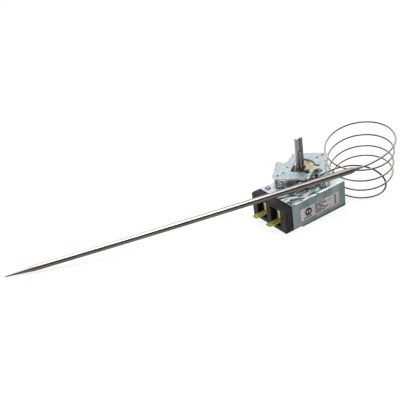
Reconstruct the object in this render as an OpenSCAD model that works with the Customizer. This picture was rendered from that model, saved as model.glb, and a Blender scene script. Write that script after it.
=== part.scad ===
// Capillary thermostat with a snap switch, a raised mounting plate and a sensing bulb.
// Origin on the shaft axis at the top face of the mounting plate, in millimetres.
// X runs along the case towards the coil, Y to the back, Z up the shaft.

/* [What to show] */
// Which named piece to show

/* [Switch case] */
// Length of the zinc case along X
case_l = 61.2; // [50:0.1:80]
// Distance from the shaft axis to the open left edge of the case
case_left = 30; // [24:0.1:40]
// Width of the case along Y
case_w = 45.4; // [36:0.1:60]
// Height of the case
case_h = 25.2; // [21:0.1:32]
// Thickness of the case sheet
sheet_t = 0.9; // [0.6:0.05:1.5]
// Outside radius of the folds along the top of the case
fold_r = 1.6; // [1.2:0.1:3]
// Outside radius of the upright corners at the coil end of the case
corner_r = 3; // [2:0.1:5]
// Length of the raised lower edge at the left of the case side
step_l = 9.5; // [4:0.5:14]
// Height of that raised edge
step_h = 1.4; // [0.4:0.1:2]
// Distance of the two case screws from the open left edge
screw_in = 5; // [4:0.1:8]
// Distance of each case screw from the middle of the case
screw_y = 17; // [14:0.1:19]
// Diameter of the case screws
case_screw_d = 2.5; // [2:0.1:3]

/* [Black switch base] */
// How far the base sticks out of the case at the terminal end
base_out = 8.8; // [6:0.1:14]
// Drop of the top of the base end below the case top
base_drop = 0.6; // [0.2:0.1:2]
// Height of the bevel along the top of the terminal end
bevel = 1.6; // [0.5:0.1:3]
// Height of the bottom of the base above the lower edge of the case
base_lift = 1.3; // [0:0.1:2]
// Thickness of the floor of the base
floor_t = 4.5; // [3:0.1:8]
// Distance from the coil end of the case to the switch room
room_end = 6.7; // [4:0.1:9]
// Width of the switch room
room_w = 28; // [24:0.5:34]
// Distance from the open left edge of the case to the switch room
room_start = 8; // [6:0.5:10]
// Depth of the two terminal cells in the end of the base
cell_depth = 5.6; // [4:0.1:7]
// Width of a terminal cell
cell_w = 13.5; // [10:0.1:15]
// Height of a terminal cell
cell_h = 16.6; // [13:0.1:18]
// Distance from the case top to the top of a cell
cell_top = 3.6; // [2.5:0.1:5]
// Number of upright ribs on the side of the base end
rib_count = 3; // [2:1:5]

/* [Terminals] */
// Width of a blade terminal
tab_w = 6.3; // [4.8:0.1:6.3]
// Thickness of a blade terminal
tab_t = 0.8; // [0.5:0.05:1]
// Length of the blade beyond the base
tab_out = 9.4; // [7:0.1:12]
// Distance of each terminal from the middle of the base
tab_y = 9.6; // [8:0.1:11]
// Distance from the case top to the blade
tab_drop = 17.6; // [14:0.1:19]
// Diameter of a terminal rivet
rivet_d = 3; // [2:0.1:4]
// Diameter of the hole at the end of a blade
tab_hole_d = 1.8; // [1.2:0.1:2.5]

/* [Mounting plate] */
// Height of the mounting plate above the case top
rise = 19.1; // [17:0.1:26]
// Thickness of the mounting plate and its legs
plate_t = 1.5; // [1:0.1:2]
// Half diagonal of the plate, measured to its slanting edges
half_diag = 32.3; // [30:0.1:38]
// Half length between the two cut tips of the plate
tip_x = 30.8; // [29:0.1:36]
// Half width between the two long edges
ear_y = 21.4; // [18:0.1:24]
// Distance from the shaft axis to the near corner of a long edge
ear_near = 8.4; // [6:0.1:9]
// Distance from the shaft axis to the corner beyond the notch
ear_far = 8.6; // [8:0.1:10]
// Distance from the shaft axis to the bottom of the notch in a long edge
notch_y = 13.6; // [13.4:0.1:18]
// Distance from the shaft axis to the middle of that notch
notch_x = 5.2; // [4:0.1:6]
// Width of the bottom of that notch
notch_w = 2.8; // [1:0.1:4]
// Radius of the corners of the plate
plate_corner = 1.2; // [0.4:0.1:1.4]
// Half spacing of the inner pair of mounting holes
hole_inner = 19.05; // [17:0.05:21]
// Half spacing of the outer pair of mounting holes
hole_outer = 25.4; // [24:0.1:28]
// Diameter of the mounting holes
hole_d = 3; // [2.5:0.1:3.6]
// Radius of the round window about the shaft
window_r = 13; // [12.6:0.1:13.2]
// Distance from the shaft axis to the straight edge of the window
shelf_in = 6.2; // [5.2:0.1:8]
// Direction of that straight edge, in degrees from the coil side
shelf_dir = 127; // [120:1:140]
// Direction of the front notch of the window
notch_dir = 254; // [245:1:260]
// Width of the front notch of the window
slot_w = 4.6; // [3:0.1:5]
// Distance from the shaft axis to the end of the front notch
slot_r = 17.3; // [15:0.1:18]
// Direction of the coil side notch of the window
side_dir = 312; // [305:1:320]
// Width of the coil side notch of the window
side_w = 3.4; // [2:0.1:5]
// Distance from the shaft axis to the end of the coil side notch
side_r = 16.6; // [15:0.1:18]
// Width of each folded leg
leg_w = 13.4; // [10:0.1:16]
// Outside radius of the leg folds
leg_fold = 2.5; // [2:0.1:4]
// Length of the flat foot under each leg
foot_l = 5.2; // [4:0.1:7]
// Width of the arch cut in each leg
arch_w = 5; // [3:0.1:7]
// Diameter of the foot rivets
foot_rivet_d = 2.4; // [2:0.1:2.6]

/* [Shaft] */
// Diameter of the control shaft
shaft_d = 7.14; // [6.3:0.01:7.4]
// Height of the shaft above the mounting plate
shaft_h = 26.9; // [15:0.1:40]
// Length of the flat on the shaft
flat_l = 12.7; // [8:0.1:20]
// Thickness left across the flat
flat_across = 5.35; // [4.4:0.05:6]
// Direction that the flat faces, in degrees from the coil side
flat_dir = 270; // [0:1:359]
// Diameter of the shaft where it runs in the bushing
journal_d = 7.8; // [7.6:0.1:8]
// Running gap around the shaft in its bushing
run_gap = 0.05; // [0.02:0.01:0.1]
// Diameter of the screw end of the shaft
screw_d = 5; // [4:0.1:5.5]
// Length of the screw end
screw_l = 3.5; // [3:0.1:5]

/* [Bearing and stop disc] */
// Thickness of the bronze plate seen in the window
window_t = 1; // [0.8:0.1:1.2]
// Lap of that plate under the rim of the window
window_lap = 1; // [0.5:0.1:1.2]
// Distance from the shaft axis to the inner edge of that plate
window_in = 4.6; // [4:0.1:5.5]
// Distance from the shaft axis to the free front edge of that plate
tongue_r = 12; // [9:0.1:12.6]
// Direction where that free front edge starts, in degrees from the coil side
tongue_from = -104; // [-110:1:-80]
// Direction where it ends and the plate reaches under the rim
tongue_to = -64; // [-75:1:-50]
// Direction where the plate ends at the back
window_to = 62; // [40:1:65]
// Width of the strip that carries the bushing
strip_w = 15; // [13:0.1:18]
// Thickness of that strip
strip_t = 1; // [0.8:0.1:1.4]
// Length of that strip over its two feet
strip_l = 38; // [37:0.1:39]
// Direction of that strip, in degrees from the coil side
strip_dir = 35; // [25:1:45]
// Outside diameter of the bushing in the strip
bush_d = 10; // [9:0.1:11]
// Thickness of the bushing flange below the strip
bush_flange = 0.6; // [0.5:0.1:1]
// Radius of the stop disc over its teeth
disc_r = 8.8; // [8:0.1:10.4]
// Thickness of the stop disc
disc_t = 1.5; // [1.2:0.1:1.7]
// Number of teeth on the disc
teeth = 18; // [12:1:28]
// Length of the gaps between the teeth
tooth_l = 3; // [1:0.1:3.6]
// Width of the gaps between the teeth
tooth_gap = 1.2; // [0.6:0.1:1.4]
// Slant of the teeth away from the shaft direction, in degrees
tooth_slant = 40; // [0:1:50]
// Radius of the stop lug
lug_r = 12.4; // [12:0.1:12.6]
// Turning range of the shaft in degrees
turn_range = 300; // [240:5:310]
// Direction of the stop pin, in degrees from the coil side
pin_dir = 150; // [140:1:160]
// Distance of the stop pin from the shaft axis
pin_r = 11.6; // [11.5:0.1:11.8]
// Diameter of the stop pin
pin_d = 2; // [1.6:0.1:2]
// Turn of the shaft as drawn, in degrees from its first stop
turn_now = 135; // [0:1:300]

/* [Range nut and spring] */
// Outside diameter of the range nut
nut_d = 11; // [10.5:0.1:12]
// Thickness of the threaded web of the nut
nut_web = 1.5; // [1.2:0.1:1.6]
// Length of the skirt round the spring
skirt_l = 1; // [0.6:0.1:1.1]
// Outside diameter of the range spring
spring_d = 8; // [7.6:0.1:8.4]
// Wire diameter of the range spring
wire_d = 0.8; // [0.6:0.05:0.9]
// Number of turns of the range spring
spring_turns = 1.5; // [1.5:0.5:2]

/* [Lever] */
// Distance from the shaft axis to the lever pin
pivot_x = 17; // [16:0.1:18]
// Distance from the mounting plate to the top of the lever
lever_z = 12.6; // [12.5:0.1:12.8]
// Width of the lever
lever_w = 8; // [7.2:0.1:8.2]
// Thickness of the lever sheet
lever_t = 1; // [0.8:0.1:1.2]
// Diameter of the lever pin
pivot_d = 2.2; // [1.8:0.1:2.4]
// Thickness of the bracket that holds the lever pin
bracket_t = 1.2; // [1:0.1:1.5]
// Working gap between moving sheet pieces
side_gap = 0.3; // [0.2:0.05:0.5]

/* [Diaphragm capsule] */
// Diameter of the capsule
cap_d = 19; // [16:0.1:19.4]
// Thickness of the capsule at its middle
cap_t = 3.4; // [3:0.1:3.8]
// Thickness of the capsule at its rim
cap_rim = 1.6; // [1.2:0.1:2]
// Width of the rim of the capsule
cap_flat = 2.4; // [1.5:0.1:3]
// Radius of the flat middle of the capsule
cap_mid = 6; // [4:0.1:6.4]
// Distance of the capsule centre from the shaft towards the coil
cap_x = 4; // [3:0.1:5]
// Distance of the capsule centre towards the front
cap_y = 3.4; // [2:0.1:4]
// Diameter of the button on the capsule
button_d = 4; // [3:0.1:4.6]
// Gap that keeps two working faces from rubbing
touch_gap = 0.06; // [0.04:0.01:0.1]

/* [Switch parts] */
// Distance from the coil end of the case to the transfer pin
push_end = 12.2; // [9:0.1:13]
// Distance of the transfer pin and the switch blade towards the back
push_y = 2.2; // [1.8:0.1:2.6]
// Diameter of the transfer pin
push_d = 2.5; // [2:0.1:3]
// Distance from the case top down to the switch blade
blade_drop = 8.4; // [7:0.1:9]
// Width of the switch blade
blade_w = 5; // [4:0.1:6]
// Thickness of the switch blade
blade_t = 0.5; // [0.4:0.05:0.6]
// Distance from the transfer pin to the contacts
contact_in = 7; // [5:0.1:9]
// Diameter of a contact
contact_d = 3.6; // [3:0.1:4]
// Height of a contact
contact_h = 1.2; // [1:0.1:1.6]

/* [Capillary and bulb] */
// Diameter of the capillary tube
tube_d = 1.6; // [1.2:0.05:2]
// Diameter of the sensing bulb
bulb_d = 5.4; // [4.5:0.1:6.4]
// Length of the sensing bulb with both ends
bulb_l = 316.1; // [150:0.1:330]
// Length of the pointed end
point_l = 27; // [10:0.5:40]
// Length of the drawn neck
neck_l = 11; // [8:0.5:20]
// Height of the neck end of the bulb above the mounting plate
bulb_z = 4.3; // [0:0.1:12]
// Distance of the neck end to the front of the shaft axis
bulb_y = 47; // [40:0.1:60]
// Distance of the neck end from the coil end of the case
bulb_end = 7.4; // [0:0.1:20]
// Heading of the bulb seen from above, in degrees from the coil side
bulb_heading = 151.6; // [140:0.1:180]
// Radius of the first turn of the coil
coil_r = 30.8; // [26:0.1:34]
// Loss of radius for each turn
coil_taper = 0.94; // [0:0.01:1.2]
// Pitch of the first turn
coil_pitch = 14.8; // [12:0.1:15]
// Loss of pitch for each turn
coil_close = 0.77; // [0.4:0.01:0.9]
// Distance from the case to the coil centre at the first turn
coil_gap = 27.2; // [25:0.1:40]
// Distance of the coil centre to the front of the shaft axis
coil_y = 11.8; // [8:0.1:16]
// Height of the coil centre at the first turn
coil_z = 5.2; // [4:0.1:8]
// Lean of the coil axis along X
lean_x = -0.16; // [-0.18:0.01:-0.12]
// Lean of the coil axis along Y
lean_y = -0.115; // [-0.14:0.005:-0.08]
// Direction on the coil where the tube joins the bulb side, in degrees
coil_from = -22; // [-40:1:0]
// Direction on the coil where the tube leaves for the capsule, in degrees
coil_to = 1325; // [1300:1:1340]
// Length of the handle that bends the tube out of the bulb
lead_start = 11.9; // [5:0.1:20]
// Length of the handle that bends the tube into the coil
lead_end = 31.8; // [20:0.1:40]
// Length of the handle that bends the tube out of the coil
tail_start = 34.2; // [20:0.1:45]
// Length of the handle that bends the tube towards the capsule
tail_end = 62.7; // [40:0.1:70]
// Climb of the tube away from the capsule, in degrees
tail_climb = 8.4; // [5:0.1:12]
// Number of rings along each turn of the tube
rings = 36; // [24:1:72]
// Number of sides round the tube
sides = 8; // [6:1:12]

/* [Hidden] */
$fn = 48;
eps = 0.01;
fit = 0.05;
base_gap = 0.1;
x_left = -case_left;
x_right = case_l - case_left;
z_case = -rise;
z_floor = z_case - case_h;
z_under = z_case - sheet_t;
x_end = x_left - base_out;
z_base = z_case - base_drop;
x_cell = x_end + cell_depth;
z_cell = z_case - cell_top;
z_low = z_floor + base_lift;
z_room = z_low + floor_t;
x_room = x_left + room_start;
room_l = x_right - room_end - x_room;
z_tab = z_case - tab_drop;
z_rivet = z_cell - 4;
edge_d = half_diag / sqrt(2);
leg_dirs = [-45, 135];
plate_low = -plate_t;
shaft_step = 0.3;
window_low = plate_low - window_t;
ring_t = 0.6;
ring_top = window_low - 0.3;
disc_top = ring_top - ring_t - 0.1;
disc_low = disc_top - disc_t;
strip_top = disc_low - 0.2;
strip_low = strip_top - strip_t;
riser_in = window_r + window_lap + side_gap;
bush_low = strip_low - bush_flange;
collar_top = bush_low - 0.1;
collar_t = 0.7;
screw_top = collar_top - collar_t;
screw_low = screw_top - screw_l;
pin_ang = asin(pin_d / 2 / pin_r) + 1.5;
lug_ang = 360 - turn_range - 2 * pin_ang;
lug_dir = pin_dir + pin_ang + lug_ang / 2 + turn_now;
nut_top = screw_top - 0.7;
nut_under = nut_top - nut_web;
nut_low = nut_under - skirt_l;
pin_low = nut_under - 1.2;
lever_top = -lever_z;
lever_low = lever_top - lever_t;
spring_top = nut_under - 0.02;
pivot_z = lever_low - 1.5;
ear_low = pivot_z - 1.5;
ear_in = lever_w / 2 + side_gap;
cap_low = z_case;
cap_top = cap_low + cap_t;
push_x = x_right - push_end;
push_top = lever_low - 1;
contact_x = push_x - contact_in;
z_blade = z_case - blade_drop;
z_contact = z_blade - blade_t - contact_h;
coil_at_0 = [x_right + coil_gap, -coil_y, coil_z];
coil_axis = unit([lean_x, lean_y, 1]);
coil_u = unit([1, 0, 0] - coil_axis * coil_axis[0]);
coil_v = cross(coil_axis, coil_u);
tip_r = 0.5;
bulb_start = [x_right - bulb_end, -bulb_y, bulb_z];
bulb_fall = (bulb_z - z_floor - tip_r) / bulb_l;
bulb_run = sqrt(1 - bulb_fall * bulb_fall);
bulb_dir = [cos(bulb_heading) * bulb_run, sin(bulb_heading) * bulb_run, -bulb_fall];
outlet = [cap_x + cap_d / 2 + 0.15, -cap_y, cap_low + cap_t / 2];
tail_dir = [cos(tail_climb), 0, sin(tail_climb)];

steel_blue = [0.74, 0.79, 0.82];
bakelite = [0.09, 0.09, 0.1];
brass = [0.83, 0.72, 0.36];
bronze = [0.66, 0.56, 0.42];
bright = [0.72, 0.71, 0.69];
shaft_grey = [0.5, 0.5, 0.5];

function unit(v) = v / norm(v);

// Point on the centre line of the coil at an angle in degrees.
function coil_at(a) = let (
    n = a / 360,
    down = coil_pitch * n - coil_close * n * n,
    r = coil_r - coil_taper * n)
    coil_at_0 - coil_axis * down
    + coil_u * r * cos(a) + coil_v * r * sin(a);

function coil_dir(a) = unit(coil_at(a + 0.5) - coil_at(a - 0.5));

// Point on a smooth curve with two ends and two handles.
function curve_at(p, t) = let (s = 1 - t)
    p[0] * s * s * s + p[1] * 3 * s * s * t + p[2] * 3 * s * t * t + p[3] * t * t * t;

function lead_curve() = let (e = coil_at(coil_from))
    [bulb_start, bulb_start - bulb_dir * lead_start, e - coil_dir(coil_from) * lead_end, e];

function tail_curve() = let (s = coil_at(coil_to))
    [s, s + coil_dir(coil_to) * tail_start, outlet + tail_dir * tail_end, outlet];

function tube_points() = concat(
    [for (i = [0 : 11]) curve_at(lead_curve(), i / 12)],
    [for (i = [0 : floor((coil_to - coil_from) / 360 * rings)])
        coil_at(coil_from + i * 360 / rings)],
    [for (i = [0 : 18]) curve_at(tail_curve(), (i + 0.4) / 18.4)]);

// Points of an arc that rounds the corner q between its neighbours p and s.
function corner(p, q, s, r) = let (
    a = unit(p - q),
    b = unit(s - q),
    half = acos(a * b) / 2,
    c = q + unit(a + b) * r / sin(half),
    u = q + a * r / tan(half) - c,
    v = q + b * r / tan(half) - c,
    w = 180 - 2 * half)
    [for (i = [0 : 4]) c + (u * sin((4 - i) / 4 * w) + v * sin(i / 4 * w)) / sin(w)];

function rounded(pts, r) = let (n = len(pts))
    [for (i = [0 : n - 1]) each corner(pts[(i + n - 1) % n], pts[i], pts[(i + 1) % n], r)];

// Round bar swept along a list of points.
module swept_tube(pts, r, n) {
    count = len(pts);
    rings_xyz = [for (i = [0 : count - 1]) let (
        t = unit(pts[min(i + 1, count - 1)] - pts[max(i - 1, 0)]),
        u = unit(cross(t, [0, 0, 1])),
        v = cross(u, t))
        for (k = [0 : n - 1]) pts[i] + r * (u * cos(360 * k / n) + v * sin(360 * k / n))];
    walls = [for (i = [0 : count - 2]) for (k = [0 : n - 1])
        [i * n + k, i * n + (k + 1) % n, (i + 1) * n + (k + 1) % n, (i + 1) * n + k]];
    first = [for (k = [0 : n - 1]) n - 1 - k];
    last = [for (k = [0 : n - 1]) (count - 1) * n + k];
    polyhedron(points = rings_xyz, faces = concat(walls, [first], [last]), convexity = 10);
}

module along(dir) {
    rotate([0, acos(dir[2]), atan2(dir[1], dir[0])])
        children();
}

module at_leg_holes(inset) {
    for (a = leg_dirs)
        rotate([0, 0, a])
            for (s = [-1, 1])
                translate([edge_d - leg_fold - foot_l / 2 + inset, s * leg_w / 4, 0])
                    children();
}

// Sheet outline used for both faces of the folded case.
module case_block(inset, low) {
    l = case_l - inset;
    w = case_w - 2 * inset;
    h = case_h - inset + low;
    rc = corner_r - inset;
    rf = fold_r - inset;
    intersection() {
        translate([x_left - eps * inset * 100, -w / 2, z_case - inset - h])
            linear_extrude(h)
                rounded_right(l, w, rc);
        translate([x_left - 2, 0, z_case - inset])
            rotate([90, 0, 90])
                linear_extrude(l + 4)
                    rounded_top(w, h + 1, rf);
        translate([x_left - 2, w / 2 + 1, z_case - inset - h])
            rotate([90, 0, 0])
                linear_extrude(w + 2)
                    rounded_end(l + 2, h, rf);
    }
}

module rounded_right(l, w, r) {
    union() {
        square([l - r, w]);
        translate([0, r])
            square([l, w - 2 * r]);
        for (y = [r, w - r])
            translate([l - r, y])
                circle(r);
    }
}

module rounded_top(w, h, r) {
    union() {
        translate([-w / 2, -h])
            square([w, h - r]);
        translate([-w / 2 + r, -h])
            square([w - 2 * r, h]);
        for (s = [-1, 1])
            translate([s * (w / 2 - r), -r])
                circle(r);
    }
}

module rounded_end(l, h, r) {
    union() {
        square([l - r, h]);
        square([l, h - r]);
        translate([l - r, h - r])
            circle(r);
    }
}

module case_cover() {
    color(steel_blue)
        difference() {
            case_block(0, 0);
            case_block(sheet_t, 2);
            for (s = [-1, 1])
                translate([x_left - 1, s * case_w / 2 - 2, z_floor - 1])
                    cube([step_l + 1, 4, step_h + 1]);
            translate([push_x, push_y, z_under - 1])
                cylinder(d = push_d + 0.7, h = sheet_t + 2);
            translate([0, 0, z_under - 1]) {
                at_leg_holes(0)
                    cylinder(d = foot_rivet_d + 2 * fit, h = sheet_t + 2);
                at_bracket_holes()
                    cylinder(d = foot_rivet_d + 2 * fit, h = sheet_t + 2);
                at_cover_screws()
                    cylinder(d = case_screw_d + 0.7, h = sheet_t + 2);
            }
        }
}

module at_cover_screws() {
    for (s = [-1, 1])
        translate([x_left + screw_in, s * screw_y, 0])
            children();
}

module at_bracket_holes() {
    for (s = [-1, 1])
        translate([-pivot_x, s * (ear_in - foot_rivet_d / 2 - 0.9), 0])
            children();
}

module switch_base() {
    color(bakelite)
        difference() {
            union() {
                case_block(sheet_t + base_gap, -base_lift);
                base_end();
            }
            translate([x_room, -room_w / 2, z_room])
                cube([room_l, room_w, case_h]);
            for (s = [-1, 1])
                terminal_cell(s);
            translate([0, 0, z_under - 4])
                at_cover_screws()
                    cylinder(d = case_screw_d + 2 * fit, h = 5);
            translate([0, 0, z_under - 1.2]) {
                at_leg_holes(0)
                    cylinder(d = foot_rivet_d + 1.4, h = 2);
            }
        }
}

module base_end() {
    w = case_w;
    difference() {
        translate([x_left, 0, z_base])
            rotate([90, 0, -90])
                linear_extrude(base_out)
                    polygon([[-w / 2, z_low - z_base], [w / 2, z_low - z_base],
                        [w / 2, 0], [-w / 2, 0]]);
        translate([x_end, 0, z_base])
            rotate([0, 45, 0])
                cube([bevel, w + 2, bevel], center = true);
        for (s = [-1, 1])
            for (i = [0 : rib_count - 1])
                translate([x_left - 1.8 - i * (base_out - 2) / rib_count, s * w / 2,
                    (z_base + z_low) / 2 - 0.5])
                    cube([1, 1, z_base - z_low - 5], center = true);
    }
}

module terminal_cell(s) {
    translate([x_end - 1, s * tab_y - cell_w / 2, z_cell - cell_h])
        cube([cell_depth + 1, cell_w, cell_h]);
    translate([x_end - 1, s * tab_y + cell_w / 2 - 3.4, z_cell - cell_h + 2])
        cube([cell_depth + 2.6, 2.2, cell_h - 5]);
    translate([x_end, s * tab_y, z_rivet])
        rotate([0, 90, 0])
            cylinder(d = rivet_d + 2 * fit, h = x_room - x_end + 1);
}

// Outline of the mounting plate, the same from both ends.
function plate_points() = let (
    half = [[tip_x, -(half_diag - tip_x)], [tip_x, half_diag - tip_x],
        [half_diag - ear_y, ear_y], [ear_near, ear_y], [-notch_x + notch_w / 2, notch_y],
        [-notch_x - notch_w / 2, notch_y], [-ear_far, ear_y]])
    concat(half, [for (p = half) -p]);

// Round window with one straight edge and two notches.
module window_cut() {
    translate([0, 0, plate_low - 1])
        difference() {
            cylinder(r = window_r, h = plate_t + 2);
            rotate([0, 0, shelf_dir])
                translate([shelf_in, -window_r, -1])
                    cube([window_r, 2 * window_r, plate_t + 4]);
        }
    window_slot(notch_dir, slot_w, slot_r);
    window_slot(side_dir, side_w, side_r);
}

module window_slot(dir, w, r) {
    rotate([0, 0, dir])
        translate([shaft_d, -w / 2, plate_low - 1])
            cube([r - shaft_d, w, plate_t + 2]);
}

module mounting_bridge() {
    color(steel_blue)
        difference() {
            union() {
                difference() {
                    translate([0, 0, plate_low])
                        linear_extrude(plate_t)
                            polygon(rounded(plate_points(), plate_corner));
                    for (a = leg_dirs)
                        rotate([0, 0, a])
                            translate([edge_d - leg_fold, -leg_w / 2 - 0.8, plate_low - 1])
                                cube([10, leg_w + 1.6, plate_t + 2]);
                }
                for (a = leg_dirs)
                    rotate([0, 0, a])
                        leg();
            }
            window_cut();
            for (x = [-hole_outer, -hole_inner, hole_inner, hole_outer])
                translate([x, 0, plate_low - 1])
                    cylinder(d = hole_d, h = plate_t + 2);
            translate([0, 0, z_case - 1])
                at_leg_holes(0)
                    cylinder(d = foot_rivet_d + 2 * fit, h = plate_t + 2);
            at_stop_pin(plate_low - 1)
                cylinder(d = pin_d + 2 * fit, h = plate_t + 2);
        }
}

module quarter_fold(r, t, w) {
    rotate([90, 0, 0])
        translate([0, 0, -w / 2])
            intersection() {
                difference() {
                    cylinder(r = r, h = w);
                    translate([0, 0, -1])
                        cylinder(r = r - t, h = w + 2);
                }
                translate([0, 0, -1])
                    cube([r + 1, r + 1, w + 2]);
            }
}

module leg() {
    foot_x = edge_d - leg_fold - foot_l;
    difference() {
        union() {
            translate([edge_d - leg_fold - 0.2, -leg_w / 2, plate_low])
                cube([0.2 + eps, leg_w, plate_t]);
            translate([edge_d - leg_fold, 0, -leg_fold])
                quarter_fold(leg_fold, plate_t, leg_w);
            translate([edge_d - plate_t, -leg_w / 2, z_case + leg_fold])
                cube([plate_t, leg_w, rise - 2 * leg_fold]);
            translate([edge_d - leg_fold, 0, z_case + leg_fold])
                mirror([0, 0, 1])
                    quarter_fold(leg_fold, plate_t, leg_w);
            translate([foot_x, -leg_w / 2, z_case])
                cube([foot_l + eps, leg_w, plate_t]);
        }
        translate([edge_d - leg_fold - 1, 0, z_case + 4])
            leg_arch();
    }
}

module leg_arch() {
    translate([0, -arch_w / 2, 0])
        cube([6, arch_w, 5]);
    translate([0, 0, 5])
        rotate([0, 90, 0])
            cylinder(d = arch_w, h = 6);
}

module rivet(d, grip, head) {
    cylinder(d = d, h = grip);
    translate([0, 0, grip])
        cylinder(d1 = head, d2 = head - 1, h = 0.8);
    translate([0, 0, -0.6])
        cylinder(d = head - 0.6, h = 0.6);
}

module case_rivets() {
    color(steel_blue)
        translate([0, 0, z_under]) {
            at_leg_holes(0)
                rivet(foot_rivet_d, sheet_t + plate_t, foot_rivet_d + 1.4);
            at_bracket_holes()
                rivet(foot_rivet_d, sheet_t + bracket_t, foot_rivet_d + 1);
        }
}

// Tall wedge about the shaft axis between two directions.
module wedge(from, to) {
    translate([0, 0, -1])
        linear_extrude(6)
            polygon(concat([[0, 0]], [for (i = [0 : 8])
                let (a = from + (to - from) * i / 8) [cos(a), sin(a)] * 2 * window_r]));
}

// Bronze sheet under the plate that shows in the window beside the shaft.
module window_plate() {
    color(bronze)
        translate([0, 0, window_low])
            difference() {
                union() {
                    cylinder(r = window_r + window_lap, h = window_t);
                    rotate([0, 0, side_dir])
                        translate([window_in + 1, -side_w / 2 - 0.4, 0])
                            cube([side_r - window_in, side_w + 0.8, window_t]);
                }
                translate([0, 0, -1])
                    cylinder(r = window_in, h = window_t + 2);
                wedge(window_to, 360 + tongue_from);
                difference() {
                    wedge(tongue_from - 1, tongue_to);
                    translate([0, 0, -2])
                        cylinder(r = tongue_r, h = 8);
                }
            }
}

// Strip across the window, stepped down below the stop disc.
module bearing_strip() {
    reach = strip_l / 2;
    color(steel_blue)
        difference() {
            rotate([0, 0, strip_dir])
                union() {
                    translate([-riser_in - strip_t, -strip_w / 2, strip_low])
                        cube([2 * (riser_in + strip_t), strip_w, strip_t]);
                    for (s = [0, 1])
                        mirror([s, 0, 0]) {
                            translate([riser_in, -strip_w / 2, strip_low])
                                cube([strip_t, strip_w, plate_low - strip_low]);
                            translate([riser_in, -strip_w / 2, plate_low - strip_t])
                                cube([reach - riser_in, strip_w, strip_t]);
                        }
                }
            translate([0, 0, strip_low - 1])
                cylinder(d = bush_d + 2 * fit, h = strip_t + 2);
        }
}

module at_stop_pin(z) {
    translate([pin_r * cos(pin_dir), pin_r * sin(pin_dir), z])
        children();
}

module stop_pin() {
    color(shaft_grey) {
        at_stop_pin(pin_low)
            cylinder(d = pin_d, h = 0.2 - pin_low);
        at_stop_pin(plate_low - 0.5)
            cylinder(d = pin_d + 1, h = 0.5);
    }
}

module hub_bushing() {
    color(brass)
        difference() {
            union() {
                translate([0, 0, bush_low])
                    cylinder(d = bush_d, h = strip_top - bush_low);
                translate([0, 0, bush_low])
                    cylinder(d = bush_d + 3, h = bush_flange);
            }
            translate([0, 0, bush_low - 1])
                cylinder(d = journal_d + 2 * run_gap, h = 10);
        }
}

module cover_screws() {
    color(steel_blue)
        translate([0, 0, z_case])
            at_cover_screws()
                difference() {
                    union() {
                        cylinder(d1 = case_screw_d + 2.7, d2 = case_screw_d + 1.9, h = 1.5);
                        translate([0, 0, -4.4])
                            cylinder(d = case_screw_d, h = 4.5);
                    }
                    translate([-3, -0.4, 0.8])
                        cube([6, 0.8, 2]);
                }
}

module terminal(s) {
    difference() {
        union() {
            translate([x_cell - tab_t, s * tab_y - tab_w / 2, z_tab])
                cube([tab_t, tab_w, z_rivet + 3.2 - z_tab]);
            translate([x_end - tab_out, s * tab_y - tab_w / 2, z_tab])
                cube([x_cell - x_end + tab_out, tab_w, tab_t]);
        }
        translate([x_end, s * tab_y, z_rivet])
            rotate([0, 90, 0])
                cylinder(d = rivet_d + 2 * fit, h = 12);
        translate([x_end - tab_out + 3.2, s * tab_y, z_tab - 1])
            cylinder(d = tab_hole_d, h = 4);
        for (k = [-1, 1])
            translate([x_end - tab_out, s * tab_y + k * tab_w / 2, z_tab + tab_t / 2])
                rotate([0, 0, 45])
                    cube([1.4, 1.4, 4], center = true);
    }
}

module terminal_common() {
    color(brass)
        terminal(1);
}

module terminal_load() {
    color(brass)
        terminal(-1);
}

module terminal_rivets() {
    color(bright)
        for (s = [-1, 1])
            translate([x_cell - tab_t, s * tab_y, z_rivet])
                rotate([0, 90, 0]) {
                    cylinder(d = rivet_d, h = x_room - x_cell + 2 * tab_t);
                    translate([0, 0, -0.8])
                        cylinder(d1 = rivet_d + 0.8, d2 = rivet_d + 2, h = 0.8);
                    translate([0, 0, x_room - x_cell + 2 * tab_t])
                        cylinder(d = rivet_d + 1.6, h = 0.6);
                }
}

module inner_strap(s, y1, low) {
    difference() {
        translate([x_room, min(s * tab_y - tab_w / 2, y1), low])
            cube([tab_t, max(s * tab_y + tab_w / 2, y1) - min(s * tab_y - tab_w / 2, y1),
                z_rivet + 3 - low]);
        translate([x_room - 1, s * tab_y, z_rivet])
            rotate([0, 90, 0])
                cylinder(d = rivet_d + 2 * fit, h = 4);
    }
}

module common_bracket() {
    color(brass) {
        inner_strap(1, push_y - blade_w / 2, z_blade - blade_t - 1.2);
        translate([x_room + tab_t - eps, push_y - blade_w / 2, z_blade - blade_t - 1.2])
            cube([5, blade_w, 1.2]);
    }
}

module load_bracket() {
    color(brass) {
        inner_strap(-1, -tab_y, z_room);
        translate([x_room, -tab_y - tab_w / 2, z_room])
            cube([tab_w, tab_y + tab_w / 2 + push_y + blade_w / 2, tab_t]);
        translate([x_room + tab_w - eps, push_y - blade_w / 2, z_room])
            cube([contact_x + 3 - x_room - tab_w, blade_w, tab_t]);
        translate([contact_x - 2.4, push_y - blade_w / 2, z_room])
            cube([4.8, blade_w, z_contact - contact_h - touch_gap - z_room]);
    }
}

module fixed_contact() {
    color(bright)
        translate([contact_x, push_y, z_contact - contact_h - touch_gap])
            cylinder(d = contact_d, h = contact_h);
}

module capsule() {
    color(bright)
        translate([cap_x, -cap_y, cap_low])
            rotate_extrude()
                polygon(let (r = cap_d / 2, m = cap_t / 2, h = cap_rim / 2)
                    [[0, 0], [cap_mid, 0], [r - cap_flat, m - h], [r, m - h], [r, m + h],
                    [r - cap_flat, m + h], [cap_mid, cap_t], [0, cap_t]]);
}

module capillary_tube() {
    color(bright)
        swept_tube(tube_points(), tube_d / 2, sides);
}

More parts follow.
